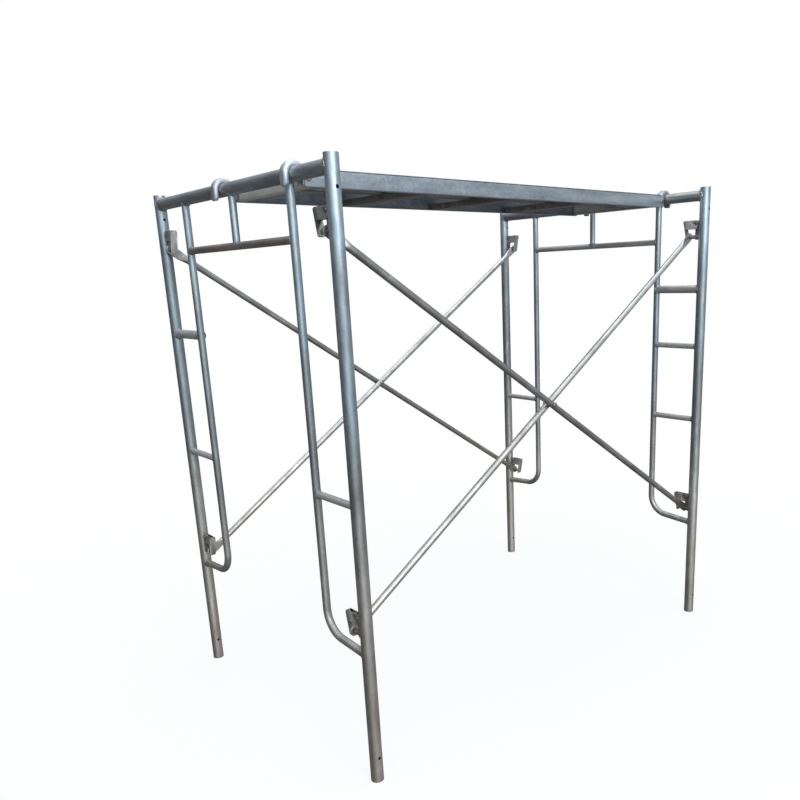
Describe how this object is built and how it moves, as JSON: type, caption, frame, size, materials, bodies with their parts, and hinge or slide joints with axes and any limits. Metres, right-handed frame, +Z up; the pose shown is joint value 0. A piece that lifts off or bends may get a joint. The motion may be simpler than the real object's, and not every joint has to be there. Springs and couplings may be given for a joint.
{
  "type": "frame scaffold section",
  "caption": "Walk-through frame scaffold bay: two welded tube ladder frames joined by crossed tube braces on flip-locked studs, with a hook-on steel plank between the ledgers.",
  "frame": {"origin": "on the ground, at the centre of the bay", "axes": "+Z up, +X from frame A (the one with one rung above its middle rung) to frame B, +Y to the left for a person looking along +X"},
  "size_m": [1.9032, 1.2614, 1.9341],
  "materials": {
    "tube_bright": "hot-dip galvanised, satin, bluish",
    "tube_worn": "hot-dip galvanised, dulled by handling",
    "brace_pale": "galvanised tube, creamy grey",
    "brace_dark": "galvanised tube, dark grey",
    "sheet_bright": "pressed galvanised sheet, satin",
    "sheet_dull": "pressed galvanised sheet, dull underside"
  },
  "bodies": {
    "frame": {"a_header_bar": "tube_worn", "a_header_strut": "tube_bright", "a_inner_post_left": "tube_bright", "a_inner_post_right": "tube_bright", "a_ledger": "tube_bright", "a_leg_left": "tube_bright", "a_leg_right": "tube_bright", "a_middle_rung_left": "tube_worn", "a_middle_rung_right": "tube_worn", "a_stud_left_lower": "tube_worn", "a_stud_left_upper": "tube_worn", "a_stud_right_lower": "tube_worn", "a_stud_right_upper": "tube_worn", "a_top_rung_left": "tube_worn", "b_header_bar": "tube_worn", "b_header_strut": "tube_bright", "b_inner_post_left": "tube_bright", "b_inner_post_right": "tube_bright", "b_ledger": "tube_bright", "b_leg_left": "tube_bright", "b_leg_right": "tube_bright", "b_middle_rung_left": "tube_worn", "b_middle_rung_right": "tube_worn", "b_stud_left_lower": "tube_worn", "b_stud_left_upper": "tube_worn", "b_stud_right_lower": "tube_worn", "b_stud_right_upper": "tube_worn", "b_top_rung_right": "tube_worn", "b_upper_rung_right": "tube_worn", "brace_falling_left": "brace_dark", "brace_falling_right": "brace_dark", "brace_rising_left": "brace_pale", "brace_rising_right": "brace_pale", "brace_rivet_left": "brace_dark", "brace_rivet_right": "brace_dark"},
    "a_lock_left_lower_body": {"a_lock_left_lower": "tube_bright"},
    "a_lock_left_upper_body": {"a_lock_left_upper": "tube_bright"},
    "a_lock_right_lower_body": {"a_lock_right_lower": "tube_bright"},
    "a_lock_right_upper_body": {"a_lock_right_upper": "tube_bright"},
    "b_lock_left_lower_body": {"b_lock_left_lower": "tube_bright"},
    "b_lock_left_upper_body": {"b_lock_left_upper": "tube_bright"},
    "b_lock_right_lower_body": {"b_lock_right_lower": "tube_bright"},
    "b_lock_right_upper_body": {"b_lock_right_upper": "tube_bright"},
    "plank": {"plank_deck": "sheet_bright", "plank_end_a": "sheet_dull", "plank_end_b": "sheet_dull", "plank_hook_a_left": "sheet_bright", "plank_hook_a_right": "sheet_bright", "plank_hook_b_left": "sheet_bright", "plank_hook_b_right": "sheet_bright", "plank_rail_left": "sheet_bright", "plank_rail_right": "sheet_bright", "plank_rib_1": "sheet_dull", "plank_rib_2": "sheet_dull", "plank_rib_3": "sheet_dull", "plank_stiffener": "sheet_dull"}
  },
  "joints": [
    {"name": "a_lock_left_lower_flip", "type": "hinge", "parent": "frame", "child": "a_lock_left_lower_body", "pos_m": [-0.9145, 0.574, 0.568], "axis": [-1, 0, 0], "range_deg": [0, 90]},
    {"name": "a_lock_left_upper_flip", "type": "hinge", "parent": "frame", "child": "a_lock_left_upper_body", "pos_m": [-0.9145, 0.574, 1.787], "axis": [-1, 0, 0], "range_deg": [0, 90]},
    {"name": "a_lock_right_lower_flip", "type": "hinge", "parent": "frame", "child": "a_lock_right_lower_body", "pos_m": [-0.9145, -0.574, 0.568], "axis": [1, 0, 0], "range_deg": [0, 90]},
    {"name": "a_lock_right_upper_flip", "type": "hinge", "parent": "frame", "child": "a_lock_right_upper_body", "pos_m": [-0.9145, -0.574, 1.787], "axis": [1, 0, 0], "range_deg": [0, 90]},
    {"name": "b_lock_left_lower_flip", "type": "hinge", "parent": "frame", "child": "b_lock_left_lower_body", "pos_m": [0.9145, 0.574, 0.568], "axis": [-1, 0, 0], "range_deg": [0, 90]},
    {"name": "b_lock_left_upper_flip", "type": "hinge", "parent": "frame", "child": "b_lock_left_upper_body", "pos_m": [0.9145, 0.574, 1.787], "axis": [-1, 0, 0], "range_deg": [0, 90]},
    {"name": "b_lock_right_lower_flip", "type": "hinge", "parent": "frame", "child": "b_lock_right_lower_body", "pos_m": [0.9145, -0.574, 0.568], "axis": [1, 0, 0], "range_deg": [0, 90]},
    {"name": "b_lock_right_upper_flip", "type": "hinge", "parent": "frame", "child": "b_lock_right_upper_body", "pos_m": [0.9145, -0.574, 1.787], "axis": [1, 0, 0], "range_deg": [0, 90]},
    {"name": "plank_lift", "type": "slide", "parent": "frame", "child": "plank", "axis": [0, 0, 1], "range_m": [0, 0.12]}
  ]
}
